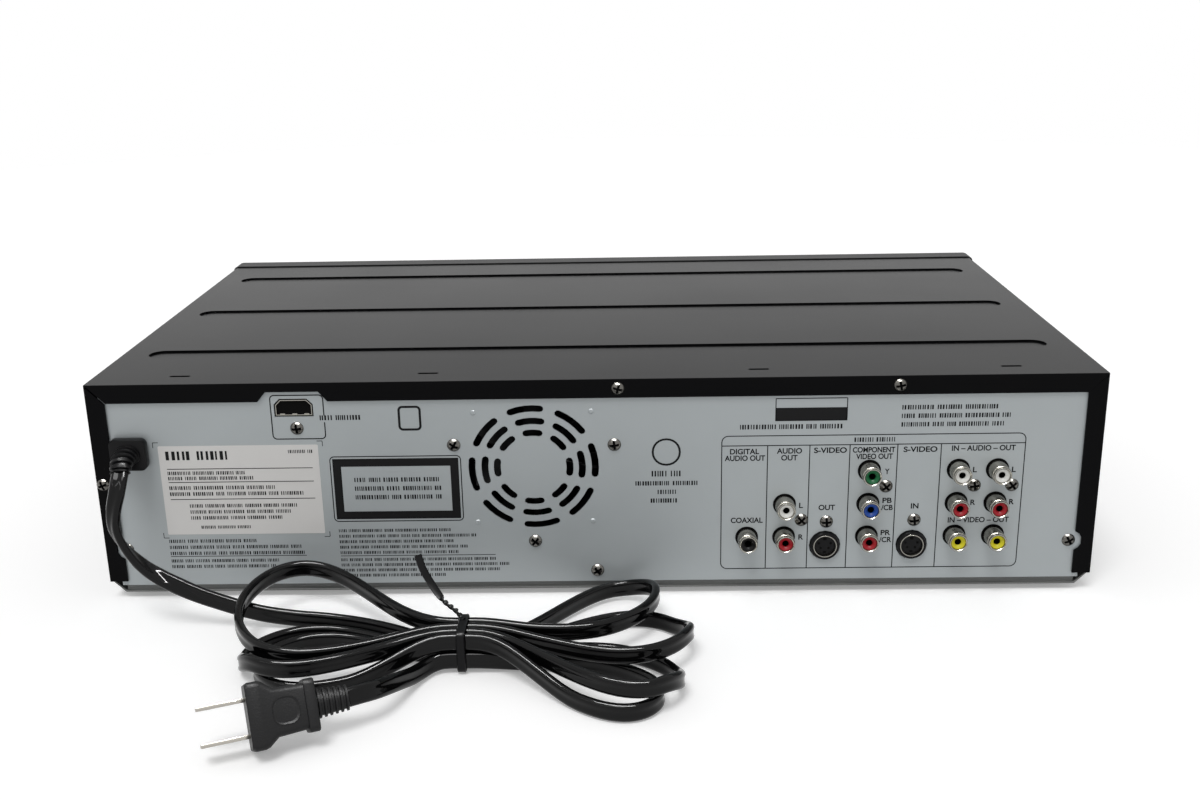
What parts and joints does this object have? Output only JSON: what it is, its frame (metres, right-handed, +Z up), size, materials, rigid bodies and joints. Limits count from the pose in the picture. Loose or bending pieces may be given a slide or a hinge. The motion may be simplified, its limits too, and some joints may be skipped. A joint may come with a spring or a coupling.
{
  "type": "dvd vcr combo player",
  "caption": "Low wide video deck with a cassette door and a disc tray in front, audio and video sockets, a fan grille and a tied mains cord at the rear.",
  "frame": {"origin": "centre of the unit's footprint on the shelf, without the cord", "axes": "+X to the right seen from the front, -Y out of the front, +Y out of the sockets, +Z up"},
  "size_m": [0.435, 0.3854, 0.0995],
  "materials": {
    "cover_paint": "semi-gloss black paint",
    "coated_steel": "grey coated sheet",
    "moulded_black": "satin",
    "smoked_glass": "gloss",
    "circuit_board": "green solder mask",
    "nickel": "nickel plate",
    "zinc_plate": "zinc plated",
    "cast_alloy": "die cast",
    "bright_steel": "polished",
    "white_plastic": "satin",
    "rubber": "matte",
    "cord_black": "gloss"
  },
  "bodies": {
    "cabinet": {"top_cover": "cover_paint", "rear_panel": "coated_steel", "bottom_chassis": "coated_steel", "foot_front_left": "rubber", "foot_front_right": "rubber", "foot_rear_left": "rubber", "foot_rear_right": "rubber", "front_bezel": "moulded_black", "display_window": "smoked_glass", "front_board": "circuit_board", "front_av_jacks": "nickel", "cassette_frame": "zinc_plate", "deck_plate": "zinc_plate", "drum_base": "cast_alloy", "drive_belt": "rubber", "control_head": "bright_steel", "erase_head": "bright_steel", "drive_chassis": "moulded_black", "clamp_bridge": "zinc_plate", "fan_frame": "moulded_black", "main_board": "circuit_board", "power_board": "circuit_board", "digital_board": "circuit_board", "av_output_jacks": "nickel", "av_input_jacks": "nickel", "component_jacks": "nickel", "audio_output_jacks": "nickel", "cord_bushing": "moulded_black", "cord_lead": "cord_black", "cord_hank": "cord_black", "cord_tail": "cord_black", "twist_tie": "moulded_black", "plug": "moulded_black"},
    "cassette_door": {"cassette_door": "moulded_black"},
    "cassette_carriage": {"cassette_carriage": "zinc_plate"},
    "cassette_holder": {"cassette_holder": "zinc_plate"},
    "head_drum": {"head_drum": "bright_steel"},
    "supply_reel": {"supply_reel": "white_plastic"},
    "takeup_reel": {"takeup_reel": "white_plastic"},
    "capstan": {"capstan": "bright_steel"},
    "clutch_pulley": {"clutch_pulley": "white_plastic"},
    "pinch_arm": {"pinch_arm": "zinc_plate"},
    "pinch_roller": {"pinch_roller": "rubber"},
    "supply_guide": {"supply_guide": "moulded_black"},
    "takeup_guide": {"takeup_guide": "moulded_black"},
    "disc_tray": {"disc_tray": "moulded_black", "tray_lid": "moulded_black"},
    "tray_gear": {"tray_gear": "white_plastic"},
    "traverse": {"traverse": "moulded_black"},
    "turntable": {"turntable": "white_plastic"},
    "pickup": {"pickup": "cast_alloy"},
    "disc_clamp": {"disc_clamp": "white_plastic"},
    "fan_rotor": {"fan_rotor": "moulded_black"},
    "power_button": {"power_button": "moulded_black"},
    "eject_button": {"eject_button": "moulded_black"},
    "rewind_button": {"rewind_button": "moulded_black"},
    "play_button": {"play_button": "moulded_black"},
    "forward_button": {"forward_button": "moulded_black"},
    "stop_button": {"stop_button": "moulded_black"},
    "open_close_button": {"open_close_button": "moulded_black"}
  },
  "joints": [
    {"name": "cassette_door_hinge", "type": "hinge", "parent": "cabinet", "child": "cassette_door", "pos_m": [-0.104, -0.1252, 0.0904], "axis": [1, 0, 0], "range_deg": [0, 80]},
    {"name": "carriage_slide", "type": "slide", "parent": "cabinet", "child": "cassette_carriage", "axis": [0, 1, 0], "range_m": [0, 0.02]},
    {"name": "holder_drop", "type": "slide", "parent": "cassette_carriage", "child": "cassette_holder", "axis": [0, 0, -1], "range_m": [0, 0.022]},
    {"name": "drum_spin", "type": "hinge", "parent": "cabinet", "child": "head_drum", "pos_m": [-0.104, 0.04, 0.0275], "axis": [0, 0.1028, 0.9947], "continuous": true},
    {"name": "supply_reel_spin", "type": "hinge", "parent": "cabinet", "child": "supply_reel", "pos_m": [-0.1502, -0.048, 0.03], "axis": [0, 0, 1], "continuous": true},
    {"name": "takeup_reel_spin", "type": "hinge", "parent": "cabinet", "child": "takeup_reel", "pos_m": [-0.0578, -0.048, 0.03], "axis": [0, 0, 1], "continuous": true},
    {"name": "capstan_spin", "type": "hinge", "parent": "cabinet", "child": "capstan", "pos_m": [-0.042, 0.012, 0.02], "axis": [0, 0, 1], "continuous": true},
    {"name": "clutch_spin", "type": "hinge", "parent": "cabinet", "child": "clutch_pulley", "pos_m": [-0.104, -0.02, 0.012], "axis": [0, 0, 1], "continuous": true},
    {"name": "pinch_arm_swing", "type": "hinge", "parent": "cabinet", "child": "pinch_arm", "pos_m": [-0.02, 0.008, 0.03], "axis": [0, 0, -1], "range_deg": [0, 35]},
    {"name": "pinch_roller_spin", "type": "hinge", "parent": "pinch_arm", "child": "pinch_roller", "pos_m": [-0.03267, -0.00747, 0.038], "axis": [0, 0, 1], "continuous": true},
    {"name": "supply_guide_slide", "type": "slide", "parent": "cabinet", "child": "supply_guide", "axis": [-0.3011, 0.9536, 0], "range_m": [0, 0.0398]},
    {"name": "takeup_guide_slide", "type": "slide", "parent": "cabinet", "child": "takeup_guide", "axis": [0.3011, 0.9536, 0], "range_m": [0, 0.0398]},
    {"name": "tray_slide", "type": "slide", "parent": "cabinet", "child": "disc_tray", "axis": [0, -1, 0], "range_m": [0, 0.12]},
    {"name": "tray_gear_spin", "type": "hinge", "parent": "cabinet", "child": "tray_gear", "pos_m": [0.066, -0.105, 0.06], "axis": [0, 0, 1], "range_deg": [0, 765]},
    {"name": "traverse_tilt", "type": "hinge", "parent": "cabinet", "child": "traverse", "pos_m": [0.106, 0.034, 0.051], "axis": [1, 0, 0], "range_deg": [0, 4]},
    {"name": "turntable_spin", "type": "hinge", "parent": "traverse", "child": "turntable", "pos_m": [0.106, -0.048, 0.06], "axis": [0, 0, 1], "continuous": true},
    {"name": "pickup_slide", "type": "slide", "parent": "traverse", "child": "pickup", "axis": [0, 1, 0], "range_m": [0, 0.036]},
    {"name": "clamp_spin", "type": "hinge", "parent": "cabinet", "child": "disc_clamp", "pos_m": [0.106, -0.048, 0.08], "axis": [0, 0, 1], "continuous": true},
    {"name": "fan_spin", "type": "hinge", "parent": "cabinet", "child": "fan_rotor", "pos_m": [0.026, 0.11, 0.0595], "axis": [0, 1, 0], "continuous": true},
    {"name": "power_press", "type": "slide", "parent": "cabinet", "child": "power_button", "axis": [0, 1, 0], "range_m": [0, 0.0012], "stiffness_N_per_m": 300, "springref_m": -0.0005},
    {"name": "eject_press", "type": "slide", "parent": "cabinet", "child": "eject_button", "axis": [0, 1, 0], "range_m": [0, 0.0012], "stiffness_N_per_m": 300, "springref_m": -0.0005},
    {"name": "rewind_press", "type": "slide", "parent": "cabinet", "child": "rewind_button", "axis": [0, 1, 0], "range_m": [0, 0.0012], "stiffness_N_per_m": 300, "springref_m": -0.0005},
    {"name": "play_press", "type": "slide", "parent": "cabinet", "child": "play_button", "axis": [0, 1, 0], "range_m": [0, 0.0012], "stiffness_N_per_m": 300, "springref_m": -0.0005},
    {"name": "forward_press", "type": "slide", "parent": "cabinet", "child": "forward_button", "axis": [0, 1, 0], "range_m": [0, 0.0012], "stiffness_N_per_m": 300, "springref_m": -0.0005},
    {"name": "stop_press", "type": "slide", "parent": "cabinet", "child": "stop_button", "axis": [0, 1, 0], "range_m": [0, 0.0012], "stiffness_N_per_m": 300, "springref_m": -0.0005},
    {"name": "open_close_press", "type": "slide", "parent": "cabinet", "child": "open_close_button", "axis": [0, 1, 0], "range_m": [0, 0.0012], "stiffness_N_per_m": 300, "springref_m": -0.0005}
  ],
  "couplings": [
    {"joint": "clutch_spin", "follows": "capstan_spin", "ratio": 1.375},
    {"joint": "takeup_guide_slide", "follows": "supply_guide_slide", "ratio": 1},
    {"joint": "tray_gear_spin", "follows": "tray_slide", "rad_per_m": 111.11}
  ]
}
